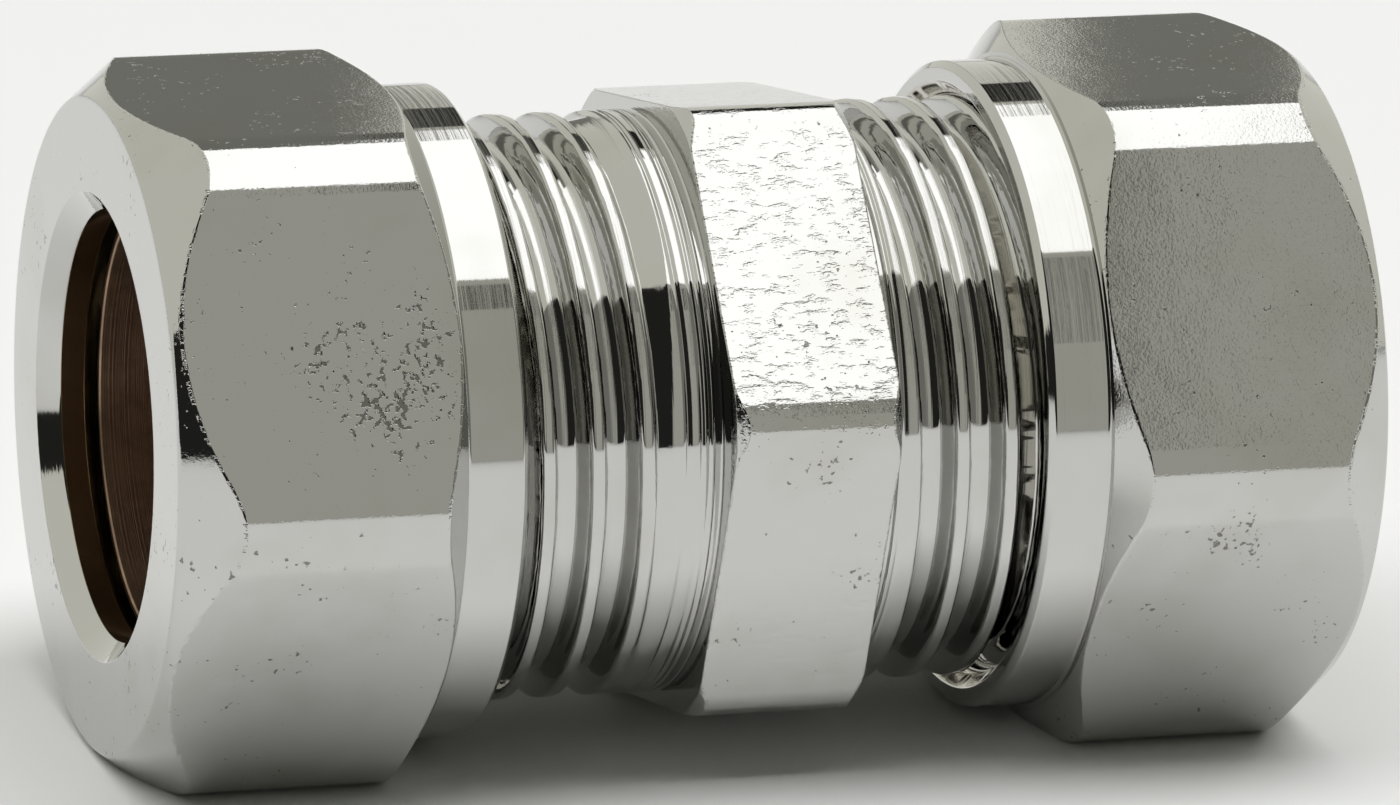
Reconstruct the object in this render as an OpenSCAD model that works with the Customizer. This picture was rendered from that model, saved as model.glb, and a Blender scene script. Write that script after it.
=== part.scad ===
// Straight compression coupling for 15 mm tube, in chrome-plated brass.
// The axis of the tube is X. The origin is on that axis, half way between
// the outer faces of the two nuts, and the nuts lie on flats at the bottom.
// The left nut stands further out than the right one, which is hand tight.

/* [Tube] */
// Outer diameter of the tube that the fitting joins
tube_d = 15; // [12:0.5:18]
// Radial room round the tube in the body's socket
socket_gap = 0.05; // [0.02:0.01:0.2]
// Radial room round the tube in an olive
olive_gap = 0.08; // [0.03:0.01:0.2]
// Radial room round the tube in a nut's mouth
mouth_gap = 0.16; // [0.1:0.01:0.3]

/* [Thread] */
// Pitch of the thread, 14 turns an inch
pitch = 1.814; // [1:0.001:2.5]
// Radial room between the body's thread and a nut
thread_gap = 0.08; // [0.03:0.01:0.1]
// Width of the rim between the thread's root and the mouth of the body
rim_w = 0.466; // [0.3:0.01:1.5]
// How far the thread's end is cut back at its crest
thread_end = 1.1; // [0.5:0.1:1.6]

/* [Body] */
// Length of the body
body_len = 30; // [26:0.5:40]
// Width of the body's hexagon along the axis
body_hex_w = 6.1; // [3:0.1:8]
// Height of the body's flats over its thread's crest
body_step = 0.372; // [0.2:0.01:2]
// Radius of the hexagon's six long corners
body_corner_r = 1.7; // [0.5:0.1:3]
// How far the hexagon's end corners are cut back
body_chamfer = 0.36; // [0.1:0.02:1]
// How far the body is turned about the axis from the nuts' flats
body_turn = -12; // [-30:1:30]
// Plain shoulder between the hexagon and the left thread
left_shoulder = 2.88; // [0.5:0.02:4]
// Plain shoulder between the hexagon and the right thread
right_shoulder = 1.31; // [0.5:0.01:4]
// Depth of the neck turned beside the hexagon
neck_depth = 0.12; // [0.05:0.01:0.3]
// Width of the neck turned beside the hexagon
neck_w = 0.35; // [0.1:0.05:0.45]
// Length of the ring in the middle that stops both tubes
stop_len = 3; // [1:0.1:5]
// Height of the ring that stops the tubes
stop_step = 0.8; // [0.4:0.05:1.2]
// Height of the cone at each mouth, where an olive seats
cone_rise = 1.3; // [1:0.05:1.8]
// Angle between the cone and the axis
cone_deg = 22; // [18:1:28]

/* [Olives] */
// Width of an olive
olive_w = 6; // [5:0.1:8]
// Wall of an olive at its middle
olive_wall = 1.17; // [0.9:0.01:1.5]
// Wall of an olive at its two edges
olive_edge = 0.32; // [0.2:0.01:0.5]
// Room along the axis between an olive and each of its two seats
seat_gap = 0.3; // [0.05:0.05:0.5]

/* [Nuts] */
// Turns by which the left nut stands open
left_open_turns = 1.04; // [0:0.01:2]
// Length of a nut's hexagon
nut_hex_len = 10.38; // [9:0.02:14]
// Length of the round collar at a nut's inner end
collar_len = 2.32; // [1:0.02:4]
// Wall of the collar outside the thread
collar_wall = 1.142; // [0.8:0.01:2]
// Height of the nut's flats over its collar
nut_step = 0.3; // [0.2:0.01:1.5]
// Radius of the nut's six long corners
nut_corner_r = 3.3; // [1:0.1:4]
// How far the flat outer face stops inside the flats
face_inset = 0.28; // [0.1:0.02:1]
// Angle between the outer chamfer and the outer face
outer_chamfer_deg = 51; // [30:1:60]
// Angle between the inner chamfer and the inner face
inner_chamfer_deg = 36; // [20:1:50]
// Chamfer on the rim of the collar
collar_chamfer = 0.25; // [0.1:0.01:0.4]
// Length of the mouth where the tube enters
mouth_len = 1.6; // [1:0.1:2.5]
// Width and depth of the countersink at the mouth
mouth_sink = 0.7; // [0.3:0.05:0.9]
// Height of the 45 degree cone that presses on the olive
seat_rise = 1.66; // [1.4:0.02:2]
// Length of the relief between the cone and the thread
relief_len = 1.04; // [0.5:0.02:1.2]
// Width and depth of the countersink where the thread begins
thread_sink = 0.45; // [0.2:0.01:0.6]

/* [Hidden] */
$fn = 96;
// Whitworth form: depth, flank and crest as shares of the pitch
thread_depth = 0.6403 * pitch;
flank_w = pitch / 3;
crest_w = pitch / 6;
// Radii, from the tube outwards
tube_r = tube_d / 2;
socket_r = tube_r + socket_gap;
stop_r = socket_r - stop_step;
cone_mouth_r = socket_r + cone_rise;
root_r = cone_mouth_r + rim_w;
crest_r = root_r + thread_depth;
body_flat_r = crest_r + body_step;
olive_bore_r = tube_r + olive_gap;
olive_mid_r = olive_bore_r + olive_wall;
olive_end_r = olive_bore_r + olive_edge;
nut_mouth_r = tube_r + mouth_gap;
nut_seat_r = nut_mouth_r + seat_rise;
nut_thread_r = crest_r + thread_gap;
collar_r = nut_thread_r + collar_wall;
nut_flat_r = collar_r + nut_step;
// The olive's outside is an arc through its two edges and its middle
bulge = olive_mid_r - olive_end_r;
arc_r = (pow(olive_w / 2, 2) + pow(bulge, 2)) / (2 * bulge);
arc_at = olive_mid_r - arc_r;
// Distances from the middle of the body along the axis
body_half = body_len / 2;
hex_half = body_hex_w / 2;
stop_half = stop_len / 2;
cone_len = cone_rise / tan(cone_deg);
arc_reach = (arc_r + seat_gap * sin(cone_deg)) / cos(cone_deg);
olive_at = body_half - (cone_mouth_r - arc_at - arc_reach) / tan(cone_deg);
nut_at = olive_at + olive_w / 2 + seat_gap + mouth_len + olive_end_r - nut_mouth_r;
nut_len = nut_hex_len + collar_len;
thread_at = mouth_len + seat_rise + relief_len;
// The left nut and its olive stand out by this much
open_by = left_open_turns * pitch;
// The body lies off the origin, which is half way between the nuts
body_at = open_by / 2;

// Distance from the axis to a rounded corner of a hexagon
function corner_reach(flat_r, corner_r) = (flat_r - corner_r) / cos(30) + corner_r;

// A profile of radius and distance, turned about the X axis
module turned() {
    rotate([0, 90, 0]) rotate_extrude() children();
}

// Hexagon with rounded corners and two flats across its first axis
module rounded_hex(flat_r, corner_r) {
    corner_at = (flat_r - corner_r) / cos(30);
    for (turn = [0 : 60 : 120])
        rotate(turn) square([2 * flat_r, corner_at], center = true);
    for (turn = [30 : 60 : 330])
        rotate(turn) translate([corner_at, 0]) circle(corner_r);
}

// Hexagonal bar from the YZ plane along X, lying on a flat
module hex_bar(flat_r, corner_r, length) {
    rotate([0, 90, 0]) linear_extrude(length) rounded_hex(flat_r, corner_r);
}

// One threaded end of the body, with rings of the thread's own section
module threaded_end(shoulder) {
    start = hex_half + shoulder;
    ring_count = floor((body_half - start) / pitch);
    turned() intersection() {
        polygon(concat(
            [[0, 0], [crest_r, 0], [crest_r, start]],
            [for (i = [1 : ring_count], edge = [[-1, 1, 0], [-1, 0, 1], [1, 0, 1], [1, 1, 0]])
                [root_r + edge[2] * thread_depth,
                 start - crest_w / 2 + i * pitch + edge[0] * (crest_w / 2 + edge[1] * flank_w)]],
            [[root_r, body_half], [0, body_half]]));
        polygon([
            [0, 0], [crest_r + thread_gap, 0], [crest_r + thread_gap, body_half - thread_end],
            [root_r, body_half], [0, body_half]]);
    }
}

// Way for one tube, from the mouth's cone in to the stop
module tube_way() {
    turned() polygon([
        [0, stop_half], [socket_r, stop_half], [socket_r, body_half - cone_len],
        [cone_mouth_r, body_half], [cone_mouth_r, body_half + rim_w], [0, body_half + rim_w]]);
}

// Neck beside the hexagon, where the tool cleared its face
module neck() {
    turned() translate([crest_r - neck_depth, hex_half]) square([neck_depth + body_step, neck_w]);
}

module body() {
    corner_cut_r = corner_reach(body_flat_r, body_corner_r) - body_chamfer;
    color("silver") translate([body_at, 0, 0]) rotate([body_turn, 0, 0]) difference() {
        union() {
            intersection() {
                translate([-hex_half, 0, 0]) hex_bar(body_flat_r, body_corner_r, body_hex_w);
                turned() polygon([
                    [0, -hex_half], [corner_cut_r, -hex_half], [corner_cut_r + hex_half, 0],
                    [corner_cut_r, hex_half], [0, hex_half]]);
            }
            threaded_end(right_shoulder);
            mirror([1, 0, 0]) threaded_end(left_shoulder);
        }
        turned() translate([0, -body_half]) square([stop_r, body_len]);
        tube_way();
        mirror([1, 0, 0]) tube_way();
        neck();
        mirror([1, 0, 0]) neck();
    }
}

// Nut with its outer face in the YZ plane and its collar towards +X
module nut() {
    corner_out = corner_reach(nut_flat_r, nut_corner_r) - nut_flat_r + nut_step;
    face_r = nut_flat_r - face_inset;
    color("silver") difference() {
        union() {
            intersection() {
                hex_bar(nut_flat_r, nut_corner_r, nut_hex_len);
                turned() polygon([
                    [0, 0], [face_r, 0],
                    [nut_flat_r + corner_out, (face_inset + corner_out) * tan(outer_chamfer_deg)],
                    [nut_flat_r + corner_out, nut_hex_len - corner_out * tan(inner_chamfer_deg)],
                    [nut_flat_r, nut_hex_len], [0, nut_hex_len]]);
            }
            turned() polygon([
                [0, thread_at], [collar_r, thread_at], [collar_r, nut_len - collar_chamfer],
                [collar_r - collar_chamfer, nut_len], [0, nut_len]]);
            turned() difference() {
                translate([0, nut_hex_len - nut_step]) square([nut_flat_r, 2 * nut_step]);
                translate([nut_flat_r, nut_hex_len + nut_step]) circle(nut_step);
            }
        }
        turned() polygon([
            [0, 0], [nut_mouth_r + mouth_sink, 0], [nut_mouth_r, mouth_sink],
            [nut_mouth_r, mouth_len], [nut_seat_r, mouth_len + seat_rise], [nut_seat_r, thread_at],
            [nut_thread_r, thread_at], [nut_thread_r, nut_len - thread_sink],
            [nut_thread_r + thread_sink, nut_len], [0, nut_len]]);
    }
}

// Barrel-shaped ring with its middle in the YZ plane
module olive() {
    color("peru") turned() intersection() {
        translate([arc_at, 0]) circle(arc_r);
        translate([olive_bore_r, -olive_w / 2]) square([olive_wall, olive_w]);
    }
}

module nut_left() {
    translate([body_at - nut_at - open_by, 0, 0]) nut();
}

module nut_right() {
    translate([body_at + nut_at, 0, 0]) mirror([1, 0, 0]) nut();
}

module olive_left() {
    translate([body_at - olive_at - open_by, 0, 0]) olive();
}

module olive_right() {
    translate([body_at + olive_at, 0, 0]) olive();
}

body();
nut_left();
nut_right();
olive_left();
olive_right();
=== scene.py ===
"""Straight compression coupling for 15 mm tube, chrome-plated brass, lying on a pale table."""

import bpy
import numpy as np
from mathutils import Matrix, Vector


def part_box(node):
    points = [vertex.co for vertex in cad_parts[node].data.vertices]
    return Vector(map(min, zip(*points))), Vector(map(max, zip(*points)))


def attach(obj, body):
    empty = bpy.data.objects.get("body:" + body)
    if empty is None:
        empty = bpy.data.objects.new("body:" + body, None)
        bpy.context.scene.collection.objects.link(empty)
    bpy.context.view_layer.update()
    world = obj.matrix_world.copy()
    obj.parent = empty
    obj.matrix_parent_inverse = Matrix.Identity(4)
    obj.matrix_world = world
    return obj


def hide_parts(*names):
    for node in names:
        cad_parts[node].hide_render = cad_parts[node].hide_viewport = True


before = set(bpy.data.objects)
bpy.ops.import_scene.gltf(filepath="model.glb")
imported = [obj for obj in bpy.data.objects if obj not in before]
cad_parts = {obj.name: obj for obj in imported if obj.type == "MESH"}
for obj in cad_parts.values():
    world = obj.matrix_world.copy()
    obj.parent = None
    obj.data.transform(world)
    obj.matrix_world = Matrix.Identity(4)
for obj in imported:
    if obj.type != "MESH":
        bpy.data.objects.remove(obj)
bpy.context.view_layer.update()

rest_z = -12.0


# The body is one brass casting, plated after it was turned. Its hexagon keeps the skin of
# the mould, and both ends are turned and cut with a right-hand pipe thread of 14 turns an inch.
def hex_columns(flat_r, corner_r, turn, on_flat=18, on_corner=18):
    """Angles round a hexagon: evenly along each flat, and evenly round each corner's arc."""
    corner_at = (flat_r - corner_r) / np.cos(np.pi / 6)
    flat_end = np.arctan2(corner_at / 2, flat_r)
    flat = np.arctan(np.linspace(-1, 1, on_flat, endpoint=False) * np.tan(flat_end))
    swing = np.linspace(0, np.pi / 3, on_corner, endpoint=False)
    y = corner_at / 2 + corner_r * np.sin(swing)
    x = corner_at * np.cos(np.pi / 6) + corner_r * np.cos(swing)
    sector = np.concatenate([flat, np.arctan2(y, x)])
    return np.concatenate([sector + turn + k * np.pi / 3 for k in range(6)])


def hex_reach(angle, flat_r, corner_r, turn):
    """Radius of a hexagon at each angle: the flat's straight line, or the corner's circle."""
    off = np.abs((angle - turn + np.pi / 6) % (np.pi / 3) - np.pi / 6)
    corner_at = (flat_r - corner_r) / np.cos(np.pi / 6)
    back = np.pi / 6 - off
    arc = corner_at * np.cos(back) + np.sqrt(
        np.maximum(corner_r**2 - (corner_at * np.sin(back)) ** 2, 0))
    return np.where(flat_r * np.tan(off) <= corner_at / 2, flat_r / np.cos(off), arc)


def wander(angle, seed, finest):
    """Smooth noise round a circle, about -1 to 1: cosines of seeded phase that fade with pitch."""
    rng = np.random.default_rng(seed)
    wave = np.arange(1, finest + 1)
    size = rng.normal(size=finest) / np.sqrt(wave)
    total = np.cos(np.outer(angle, wave) + rng.uniform(0, 2 * np.pi, finest)) @ size
    return total / np.abs(total).max()


def eased(columns, corners, steps=4):
    """Profile with rounded corners. Each corner (along, radius, rounding) gives the points of a
    quadratic curve between two points of its sides, and one more row beside each of them."""
    along, reach, ease = (
        np.stack([np.broadcast_to(np.asarray(c[k], float), columns) for c in corners], 1)
        for k in range(3))
    at = np.stack([along, reach], 2)
    before = np.roll(at, 1, 1) - at
    after = np.roll(at, -1, 1) - at
    before[:, 0] = -after[:, 0]
    after[:, -1] = -before[:, -1]
    long_b, long_a = (np.linalg.norm(v, axis=2, keepdims=True) + 1e-9 for v in (before, after))
    before, after = before / long_b, after / long_a
    bend = np.arccos(np.clip(-(before * after).sum(2, keepdims=True), -1, 1))
    cut = np.minimum(ease[..., None] * np.tan(bend / 2), 0.42 * np.minimum(long_b, long_a))
    s = np.linspace(0, 1, steps + 1)[None, None, :, None]
    start, end = (at + before * cut)[:, :, None], (at + after * cut)[:, :, None]
    curve = (1 - s) ** 2 * start + 2 * s * (1 - s) * at[:, :, None] + s**2 * end
    beside = 0.35 * cut
    rows = np.concatenate([
        (at + before * (cut + beside))[:, :, None], curve, (at + after * (cut + beside))[:, :, None]], 2)
    return rows.reshape(columns, -1, 2)


def closed_ring(name, angle, rows, marks):
    """Mesh of a profile carried round the X axis and closed both ways. A point at an angle from
    +Z towards -Y lies at (along, -radius * sin, radius * cos). Each mark is a value per point."""
    count, depth = rows.shape[:2]
    along, reach = rows[..., 0], rows[..., 1]
    place = np.stack([along, -reach * np.sin(angle)[:, None], reach * np.cos(angle)[:, None]], 2)
    i, j = np.meshgrid(np.arange(count), np.arange(depth), indexing="ij")
    k, l = (i + 1) % count, (j + 1) % depth
    faces = np.stack([i * depth + j, k * depth + j, k * depth + l, i * depth + l], 2)
    mesh = bpy.data.meshes.new(name)
    mesh.vertices.add(count * depth)
    mesh.vertices.foreach_set("co", (place / 1000).ravel())
    mesh.loops.add(faces.size)
    mesh.loops.foreach_set("vertex_index", faces.ravel())
    mesh.polygons.add(count * depth)
    mesh.polygons.foreach_set("loop_start", np.arange(0, faces.size, 4))
    mesh.update(calc_edges=True)
    mesh.polygons.foreach_set("use_smooth", np.ones(count * depth, bool))
    for word, values in marks.items():
        layer = mesh.attributes.new(word, "FLOAT", "POINT")
        layer.data.foreach_set("value", np.broadcast_to(values, (count, depth)).ravel().astype(float))
    mesh.validate()
    piece = bpy.data.objects.new(name, mesh)
    bpy.context.scene.collection.objects.link(piece)
    return piece


def thread_height(offset, pitch, depth, crest_w, flank_deg):
    """Height over the root at a distance along the axis from a crest: a flat crest with eased
    edges, straight flanks at an angle to the radius, and a root that is a little hollow."""
    away = np.abs((offset + pitch / 2) % pitch - pitch / 2)
    flank = depth - (away - crest_w / 2) / np.tan(np.radians(flank_deg))
    crest = depth - 0.02 * (away / crest_w) ** 2
    top = np.minimum(flank, crest) - np.maximum(0.1 - np.abs(flank - crest), 0) ** 2 / 0.4
    hollow = 0.35 * (pitch / 2 - away) ** 2
    return np.maximum(top, hollow) + np.maximum(0.2 - np.abs(top - hollow), 0) ** 2 / 0.8


class Shade:
    """A shader socket that takes part in sums, and makes any other node of its tree."""

    def __init__(self, tree, socket=None):
        self.tree, self.socket = tree, socket

    def node(self, kind, settings, sockets, out=0):
        made = self.tree.nodes.new("ShaderNode" + kind)
        for word, value in settings.items():
            if word == "stops":
                ramp = made.color_ramp
                while len(ramp.elements) < len(value):
                    ramp.elements.new(0.5)
                for stop, (place, grey) in zip(ramp.elements, value):
                    stop.position = place
                    stop.color = (*grey, 1) if isinstance(grey, tuple) else (grey, grey, grey, 1)
            else:
                setattr(made, word, value)
        for word, value in sockets.items():
            if isinstance(value, Shade):
                self.tree.links.new(value.socket, made.inputs[word])
            else:
                made.inputs[word].default_value = value
        return Shade(self.tree, made.outputs[out]) if made.outputs else made

    def sum(self, operation, first, second):
        return self.node("Math", {"operation": operation}, {0: first, 1: second})

    def __add__(self, other):
        return self.sum("ADD", self, other)

    def __sub__(self, other):
        return self.sum("SUBTRACT", self, other)

    def __rsub__(self, other):
        return self.sum("SUBTRACT", other, self)

    def __mul__(self, other):
        return self.sum("MULTIPLY", self, other)

    __radd__, __rmul__ = __add__, __mul__

    def between(self, low, high):
        """0 up to low, 1 from high, and smooth between them."""
        return self.node("MapRange", {"interpolation_type": "SMOOTHSTEP"}, {0: self, 1: low, 2: high})


def plating(name, tint, cast, pits, patch, turned, dull):
    """Chrome over brass. Skin of the mould is waves, short dents and pits in Object space, where
    the mark "skin" is 1, and the pits crowd round the patch, a place and its size. Turned skin
    is rings along the mark "run". "rim" chips an edge, and the bores' mark gives a dark brass:
    brass under thin plating, darkened further as painted shade of those recesses."""
    material = bpy.data.materials.new(name)
    material.use_nodes = True
    tree = material.node_tree
    tree.nodes.clear()
    s = Shade(tree)
    where = s.node("TexCoord", {}, {}, "Object")
    skin, run, rim, bare = (s.node("Attribute", {"attribute_name": word}, {}, "Fac") for word in (
        "skin", "run", "rim", "bare"))
    drawn = s.node("Mapping", {}, {"Vector": where, "Scale": (0.45, 1, 1)})
    round_x = s.node("Mapping", {}, {"Vector": where, "Scale": (1, 0.08, 0.08)})
    wave = s.node("TexNoise", {}, {"Vector": where, "Scale": 520, "Detail": 2, "Roughness": 0.5})
    dent = s.node("TexNoise", {}, {"Vector": drawn, "Scale": 3300, "Detail": 3, "Roughness": 0.62})
    speck = s.node("TexNoise", {}, {"Vector": where, "Scale": 4200, "Detail": 2, "Roughness": 0.5})
    grain = s.node("TexNoise", {}, {"Vector": where, "Scale": 9000, "Detail": 2, "Roughness": 0.6})
    field = s.node("TexNoise", {}, {"Vector": where, "Scale": 330, "Detail": 2, "Roughness": 0.6})
    streak = s.node("TexNoise", {}, {"Vector": round_x, "Scale": 5000, "Detail": 3, "Roughness": 0.6})
    gap = s.node("VectorMath", {"operation": "DISTANCE"}, {0: where, 1: patch[0]}, "Value")
    crowd = (1 - gap.between(patch[1] * 0.3, patch[1])) * 0.17 + field * 0.6
    pit = (speck + crowd).between(1.03, 1.1) * skin
    rings = s.node("TexNoise", {"noise_dimensions": "1D"}, {"W": run, "Scale": 4, "Detail": 5, "Roughness": 0.6})
    moulded = wave * 0.22 - dent.between(0.5, 0.72) * cast - pit * pits + grain * 0.09
    height = (skin * moulded + (1 - skin) * (rings * turned + streak * 0.06)
              - rim * dent.between(0.46, 0.6) * 1.1)
    bump = s.node("Bump", {}, {"Strength": 1.0, "Distance": 0.00002, "Height": height})
    smear = s.node("TexNoise", {}, {"Vector": where, "Scale": 150, "Detail": 3, "Roughness": 0.6})
    rough = smear.between(0.35, 0.8) * dull + 0.035
    stain = s.node("Mix", {"data_type": "RGBA"}, {
        "Factor": smear.between(0.45, 0.75), 6: (*tint, 1), 7: (tint[0] * 0.93, tint[1] * 0.925, tint[2] * 0.89, 1)}, 2)
    grimy = s.node("Mix", {"data_type": "RGBA"}, {"Factor": pit * 0.7, 6: stain, 7: (0.09, 0.085, 0.07, 1)}, 2)
    # The bores' mark turns the colour to a dark brass: brass under thin plating, darkened further as painted shade of
    # the recesses.
    worn = s.node("Mix", {"data_type": "RGBA"}, {"Factor": bare, 6: grimy, 7: (0.36, 0.26, 0.13, 1)}, 2)
    shell = s.node("BsdfPrincipled", {}, {
        "Base Color": worn, "Metallic": 1.0, "Roughness": rough + bare * 0.2, "Normal": bump})
    s.node("OutputMaterial", {}, {"Surface": shell})
    return material


chrome = (0.56, 0.56, 0.545)
pitch = 1.814
body_at = 0.943
body_half = 15.0
body_turn = np.radians(-12)
crest_r, root_r = 10.47, 9.36
hex_half = 3.05
body_flat_r, body_corner_r = 10.85, 1.7
socket_r, stop_r, mouth_r, stop_half = 7.55, 6.75, 8.85, 1.5

turn = hex_columns(body_flat_r, body_corner_r, body_turn)
hexagon = hex_reach(turn, body_flat_r, body_corner_r, body_turn)


def smooth(value, low, high):
    """0 up to low, 1 from high, and smooth between them."""
    share = np.clip((value - low) / (high - low), 0, 1)
    return share * share * (3 - 2 * share)


def threaded_end(side, crest_at, scribed):
    """Rows from the hexagon out to the body's end on one side. The crest nearest the shoulder
    lies at crest_at where the angle is 93 degrees, and runs forward by one pitch a turn. Before
    it the groove runs out: to a shallow dip with a ramp, which narrows and fades round the turn.
    scribed gives the rings cut into the plain shoulder, each a place and a depth."""
    off = np.concatenate([
        np.linspace(hex_half + 0.42, 3.6, 12), np.arange(3.65, 10.8, pitch / 28),
        np.arange(10.8, body_half - 0.1, pitch / 16)])
    along = side * off
    shift = pitch * (turn[:, None] - np.radians(93)) / (2 * np.pi)
    deep = crest_r - root_r
    full = thread_height(along - crest_at - shift, pitch, deep, 0.46, 14)
    inward = side * (crest_at + shift) - off
    begun = np.degrees(turn - turn.min() if side < 0 else turn.max() - turn)[:, None]
    dip = 0.26 - 0.16 * smooth(begun, 70, 140) - 0.1 * smooth(begun, 140, 210)
    ramp_w = 1.35 - 0.9 * smooth(begun, 50, 130)
    past = inward - 0.2
    shallow = deep - dip * np.clip(past / 0.15, 0, 1) * np.clip(1 - (past - 0.15) / ramp_w, 0, 1)
    run_out = smooth(begun, 0, 35)
    height = np.where(inward < pitch, full + (shallow - full) * run_out, shallow)
    reach = root_r + np.where(inward > 0, height, full)
    for at, depth in scribed:
        reach = reach - depth * np.exp(-((off - at) / 0.06) ** 2)
    reach = np.minimum(reach, root_r - 0.15 + (body_half - off) * 1.05)
    return np.stack([np.broadcast_to(along, reach.shape), reach], 2)


right_end = threaded_end(1, 4.05, [(3.62, 0.03)])
left_end = threaded_end(-1, -5.76, [(4.37, 0.05), (3.85, 0.03), (3.6, 0.04)])
face_cut = hexagon.max() - 0.36
chamfer_x = hex_half - np.maximum(hexagon - face_cut, 0.04)
edge = 0.11 + 0.05 * wander(turn, 4, 60)
columns = len(turn)
hex_rows = eased(columns, [
    (-hex_half - 0.36, crest_r, 0.03), (-hex_half - 0.3, crest_r - 0.12, 0.03),
    (-hex_half, crest_r - 0.12, 0.1), (-hex_half, np.minimum(hexagon - 0.03, face_cut), 0.1),
    (-chamfer_x, hexagon, edge), (chamfer_x, hexagon, edge),
    (hex_half, np.minimum(hexagon - 0.03, face_cut), 0.1), (hex_half, crest_r - 0.12, 0.1),
    (hex_half + 0.3, crest_r - 0.12, 0.03), (hex_half + 0.36, crest_r, 0.03)])
cone_len = (mouth_r - socket_r) / np.tan(np.radians(22))
bore_rows = eased(columns, [
    (body_half, root_r - 0.1, 0.05), (body_half, mouth_r, 0.08), (body_half - cone_len, socket_r, 0.1),
    (stop_half, socket_r, 0.05), (stop_half, stop_r, 0.08), (-stop_half, stop_r, 0.08),
    (-stop_half, socket_r, 0.05), (cone_len - body_half, socket_r, 0.1), (-body_half, mouth_r, 0.08),
    (-body_half, root_r - 0.1, 0.05)], 2)
body_rows = np.concatenate([left_end[:, ::-1], hex_rows, right_end, bore_rows], 1)
body_rows[..., 0] += body_at
first, last = left_end.shape[1], left_end.shape[1] + hex_rows.shape[1]
body_skin, body_rim, body_bare_and_shade = np.zeros((3, body_rows.shape[1]))
body_skin[first + 21:last - 21] = 1.0
body_rim[first + 29:first + 34] = 1.0
body_rim[first + 36:first + 41] = 1.0
# The body's end faces and bore take the dark brass: brass under thin plating, and painted shade inside the fitting.
body_bare_and_shade[last + len(right_end[0]):] = 0.7
body_run = np.cumsum(np.linalg.norm(np.diff(body_rows[0], axis=0, prepend=body_rows[:1, 0]), axis=1))
body = closed_ring("body_shell", turn, body_rows, {
    "skin": body_skin, "run": body_run, "rim": body_rim, "bare": body_bare_and_shade})
body.data.materials.append(plating(
    "body_plating", chrome, 0.26, 0.5, ((0.0, -0.012, 0.0), 0.001), 0.15, 0.02))
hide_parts("body")
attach(body, "body")


# The olives are plain brass rings with a barrel-shaped outside, turned from bar and left bare.
# Each lies loose between the cone in the body's mouth and the one in its nut.
def bare_brass():
    """Dull brass, drawn darker than brass as painted shade of its place deep in the nut: two tones in soft patches, and
    rings from the lathe along the mark "run".
    """
    material = bpy.data.materials.new("olive_brass")
    material.use_nodes = True
    tree = material.node_tree
    tree.nodes.clear()
    s = Shade(tree)
    where = s.node("TexCoord", {}, {}, "Object")
    run = s.node("Attribute", {"attribute_name": "run"}, {}, "Fac")
    patch = s.node("TexNoise", {}, {"Vector": where, "Scale": 400, "Detail": 4, "Roughness": 0.65})
    rings = s.node("TexNoise", {"noise_dimensions": "1D"}, {"W": run, "Scale": 14, "Detail": 3, "Roughness": 0.6})
    # Both tones are darker than brass: the olive's own dull brass, and painted shade of its place deep inside the nut
    # and body.
    colour = s.node("Mix", {"data_type": "RGBA"}, {
        "Factor": patch.between(0.35, 0.65), 6: (0.42, 0.29, 0.2, 1), 7: (0.27, 0.18, 0.13, 1)}, 2)
    bump = s.node("Bump", {}, {"Strength": 0.6, "Distance": 0.00002, "Height": rings})
    shell = s.node("BsdfPrincipled", {}, {
        "Base Color": colour, "Metallic": 0.9, "Roughness": patch * 0.25 + 0.2, "Normal": bump})
    s.node("OutputMaterial", {}, {"Surface": shell})
    return material


olive_w, olive_bore_r, olive_mid_r, olive_end_r = 6.0, 7.58, 8.75, 7.90
bulge = olive_mid_r - olive_end_r
arc_r = ((olive_w / 2) ** 2 + bulge**2) / (2 * bulge)
round_turn = np.linspace(0, 2 * np.pi, 180, endpoint=False)
barrel = np.linspace(-olive_w / 2 + 0.12, olive_w / 2 - 0.12, 25)
barrel_r = olive_mid_r - arc_r + np.sqrt(arc_r**2 - barrel**2)
olive_profile = eased(1, [
    *((x, r, 0.02) for x, r in zip(barrel, barrel_r)),
    (olive_w / 2, olive_end_r - 0.08, 0.08), (olive_w / 2, olive_bore_r + 0.06, 0.05),
    (olive_w / 2 - 0.06, olive_bore_r, 0.05), (-olive_w / 2 + 0.06, olive_bore_r, 0.05),
    (-olive_w / 2, olive_bore_r + 0.06, 0.05), (-olive_w / 2, olive_end_r - 0.08, 0.08)], 2)
brass = bare_brass()
for side in ("left", "right"):
    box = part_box("olive_" + side)
    rows = np.repeat(olive_profile, len(round_turn), 0)
    rows[..., 0] += 500 * (box[0][0] + box[1][0])
    run = np.cumsum(np.linalg.norm(np.diff(rows[0], axis=0, prepend=rows[:1, 0]), axis=1))
    olive = closed_ring(side + "_olive_ring", round_turn, rows, {"run": run})
    olive.data.materials.append(brass)
    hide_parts("olive_" + side)
    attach(olive, side + " olive")


# The nuts are turned from hexagonal brass bar: a chamfered hexagon and a round collar, with a
# pipe thread inside and a cone that presses on the olive. They are plated and lightly pitted.
nut_flat_r, nut_corner_r = 12.0, 3.3
hex_len, nut_len = 10.38, 12.70
face_r, collar_r = 11.72, 11.70
tube_mouth_r, seat_r, thread_r, thread_at = 7.66, 9.32, 10.557, 4.30

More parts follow.
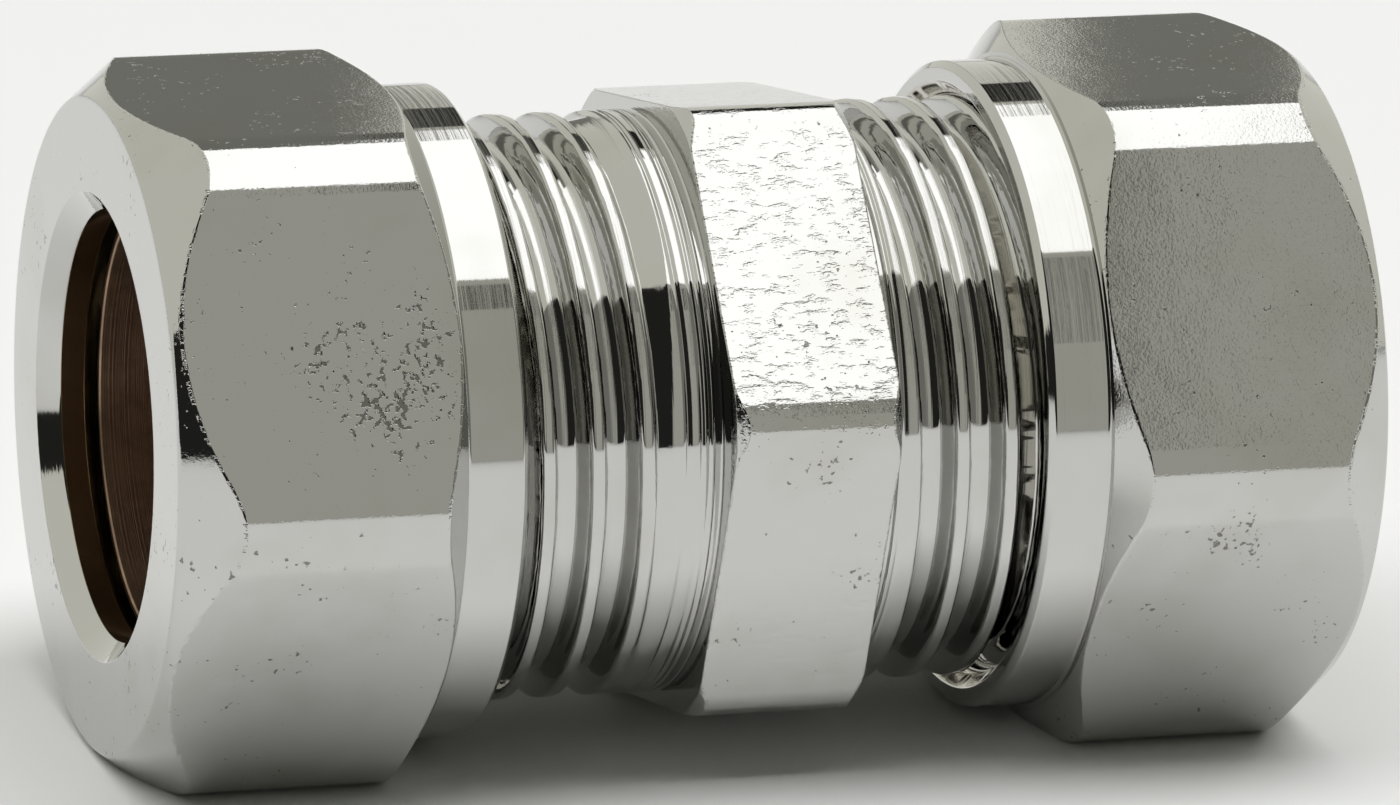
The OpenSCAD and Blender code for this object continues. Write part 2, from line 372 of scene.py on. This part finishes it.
nut_turn = hex_columns(nut_flat_r, nut_corner_r, 0, 30, 20)
columns = len(nut_turn)
for side, way, seed, phase, patch in (
        ("left", 1, 11, 0.747, ((-0.0150, -0.0105, 0.0050), 0.0052)),
        ("right", -1, 23, 0.015, ((0.0165, -0.0125, -0.002), 0.002))):
    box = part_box("nut_" + side)
    face_x = 1000 * (box[0][0] if way > 0 else box[1][0])
    nut_hexagon = hex_reach(nut_turn, nut_flat_r, nut_corner_r, 0)
    worn = 0.16 + 0.09 * wander(nut_turn, seed, 120)
    outside = eased(columns, [
        (thread_at, seat_r + 0.1, 0.05), (3.26, seat_r, 0.1), (1.6, tube_mouth_r, 0.1),
        (0.72, tube_mouth_r, 0.12), (0.0, tube_mouth_r + 0.7, 0.06), (0.0, face_r, 0.25),
        ((nut_hexagon - face_r) * np.tan(np.radians(51)), nut_hexagon, worn),
        (hex_len - (nut_hexagon - nut_flat_r + 0.07) * np.tan(np.radians(36)), nut_hexagon, worn * 0.7),
        (hex_len, nut_flat_r - 0.07, 0.04), (hex_len + 0.06, collar_r, 0.2),
        (nut_len - 0.22, collar_r, 0.1), (nut_len, collar_r - 0.25, 0.1),
        (nut_len, thread_r + 0.45, 0.1), (nut_len - 0.45, thread_r, 0.02)])
    inner = np.arange(nut_len - 0.52, thread_at + 0.05, -pitch / 18)
    helix = face_x + way * inner[None, :] - pitch * (nut_turn[:, None] / (2 * np.pi)) + phase
    ridge = thread_height(helix, pitch, 1.08, 0.3, 27.5)
    ease_in = np.clip((nut_len - 0.45 - inner) / 0.9, 0, 1)
    thread = np.stack([np.broadcast_to(inner, helix.shape), thread_r - ridge * ease_in], 2)
    rows = np.concatenate([outside, thread], 1)
    run = np.cumsum(np.linalg.norm(np.diff(rows[0], axis=0, prepend=rows[:1, 0]), axis=1))
    skin, rim, bare = np.zeros((3, rows.shape[1]))
    skin[30:62] = 1.0
    rim[43:48] = 1.0
    rim[50:55] = 0.4
    # The nut's seat cone and mouth, and faintly its thread, take the dark brass: brass under thin plating, and painted
    # shade inside the nut.
    bare[:24] = 0.8
    bare[88:] = 0.2
    rows[..., 0] = face_x + way * rows[..., 0]
    marks = {"skin": skin, "run": run, "rim": rim, "bare": bare}
    if way < 0:
        rows, marks = rows[:, ::-1], {word: mark[::-1] for word, mark in marks.items()}
    nut = closed_ring(side + "_nut_shell", nut_turn, rows, marks)
    nut.data.materials.append(plating(
        side + "_nut_plating", chrome, 0.03, 0.8, patch, 0.13, 0.015))
    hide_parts("nut_" + side)
    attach(nut, side + " nut")


# The table is a plain pale sheet under a plain studio of curved cards round the tube's axis: a
# white box overhead, pale and grey walls, and black flags. Only the plating sees the cards.
def card(name, left, right, low, high, level, reach=0.9):
    """Part of a cylinder round the X axis, between two places along X in metres and two angles
    from +Z towards -Y in degrees, shining inwards at one level."""
    a, x = np.meshgrid(np.radians(np.linspace(low, high, 25)), [left, right], indexing="ij")
    points = np.stack([x, -reach * np.sin(a), reach * np.cos(a)], 2).reshape(-1, 3)
    i = np.arange(24) * 2
    mesh = bpy.data.meshes.new(name)
    mesh.from_pydata(points.tolist(), [], np.stack([i, i + 1, i + 3, i + 2], 1).tolist())
    made = bpy.data.objects.new(name, mesh)
    bpy.context.scene.collection.objects.link(made)
    material = bpy.data.materials.new(name)
    material.use_nodes = True
    material.node_tree.nodes.clear()
    s = Shade(material.node_tree)
    light = s.node("Emission", {}, {"Color": (1, 1, 0.9, 1) if level < 1 else (1, 1, 1, 1), "Strength": level})
    s.node("OutputMaterial", {}, {"Surface": light})
    mesh.materials.append(material)
    made.visible_camera = made.visible_diffuse = made.visible_shadow = False


white, pale, grey, dusk, black = 1.8, 0.75, 0.48, 0.22, 0.02
card("box_overhead", 0.15, 0.345, -36, 27, white)
card("box_middle", 0.239, 0.3135, -43, -36, white)
card("left_wall", -8.0, 0.15, -91, 27, pale)
card("left_wall_low", -8.0, 0.15, 27, 91, black)
card("right_wall", 0.345, 8.0, -91, 27, pale)
card("right_wall_low", 0.36, 8.0, 27, 91, dusk)
card("back_wall_left", 0.15, 0.239, -91, -36, dusk)
card("back_wall", 0.239, 0.3135, -91, -43, pale)
card("back_wall_right", 0.3135, 0.345, -91, -36, dusk)
card("front_wall", 0.15, 0.36, 27, 91, grey)
card("back_flag", 0.2364, 0.31, -60, -45, black, 0.89)
card("front_flag_left", 0.2364, 0.259, 29, 38, black, 0.89)
card("front_flag_right", 0.291, 0.304, 29, 60, black, 0.89)

table = bpy.data.meshes.new("table")
reach = 3.0
table.from_pydata(
    [(-reach, -reach, rest_z / 1000), (reach, -reach, rest_z / 1000),
     (reach, reach, rest_z / 1000), (-reach, reach, rest_z / 1000)], [], [(0, 1, 2, 3)])
table_top = bpy.data.objects.new("table_top", table)
bpy.context.scene.collection.objects.link(table_top)
table_paint = bpy.data.materials.new("table_paint")
table_paint.use_nodes = True
table_paint.node_tree.nodes.clear()
s = Shade(table_paint.node_tree)
matt = s.node("BsdfDiffuse", {}, {"Color": (0.95, 0.95, 0.94, 1)})
s.node("OutputMaterial", {}, {"Surface": matt})
table.materials.append(table_paint)

# A wide soft lamp hangs over the front half of the table, and a faint sky fills the shadows.
lamp_level = 3.0
lamp = bpy.data.lights.new("soft_lamp", "AREA")
lamp.shape, lamp.size, lamp.size_y = "RECTANGLE", 1.8, 0.66
lamp.energy = lamp_level * np.pi * lamp.size * lamp.size_y
lamp_place = bpy.data.objects.new("soft_lamp", lamp)
lamp_place.matrix_world = Matrix.Translation((0.1, -0.07, 0.86))
lamp_place.visible_glossy = False
bpy.context.scene.collection.objects.link(lamp_place)

world = bpy.data.worlds.new("room")
bpy.context.scene.world = world
world.use_nodes = True
world.node_tree.nodes.clear()
s = Shade(world.node_tree)
path = world.node_tree.nodes.new("ShaderNodeLightPath")
direct = sum((Shade(world.node_tree, path.outputs[word]) for word in (
    "Is Camera Ray", "Is Glossy Ray", "Is Transmission Ray")), 0.0)
sky = s.node("Background", {}, {"Color": (1, 1, 0.9, 1), "Strength": 0.1})
backdrop = s.node("Background", {}, {"Color": (1, 1, 1, 1), "Strength": 1.0})
mixed = s.node("MixShader", {}, {"Fac": direct, 1: sky, 2: backdrop})
s.node("OutputWorld", {}, {"Surface": mixed})

# The camera stands in front and to the left of the fitting, a little above it, with a long lens.
azimuth, elevation, roll = np.radians((-17.664, 17.113, -2.47))
distance, focal_px, image_w = 0.4574, 12728.4, 1400
target = np.array([0.000223, 0, -0.000226])
back = np.array([np.sin(azimuth) * np.cos(elevation), -np.cos(azimuth) * np.cos(elevation), np.sin(elevation)])
level = np.array([np.cos(azimuth), np.sin(azimuth), 0])
above = np.cross(back, level)
axes = np.stack([
    np.cos(roll) * level - np.sin(roll) * above, np.sin(roll) * level + np.cos(roll) * above, back], 1)
lens = bpy.data.cameras.new("camera")
lens.sensor_width = 36
lens.lens = 36 * focal_px / image_w
lens.clip_start, lens.clip_end = 0.01, 20
camera = bpy.data.objects.new("camera", lens)
camera.matrix_world = Matrix.LocRotScale(target + back * distance, Matrix(axes.tolist()), None)
bpy.context.scene.collection.objects.link(camera)
bpy.context.scene.camera = camera
bpy.context.scene.view_settings.view_transform = "Standard"
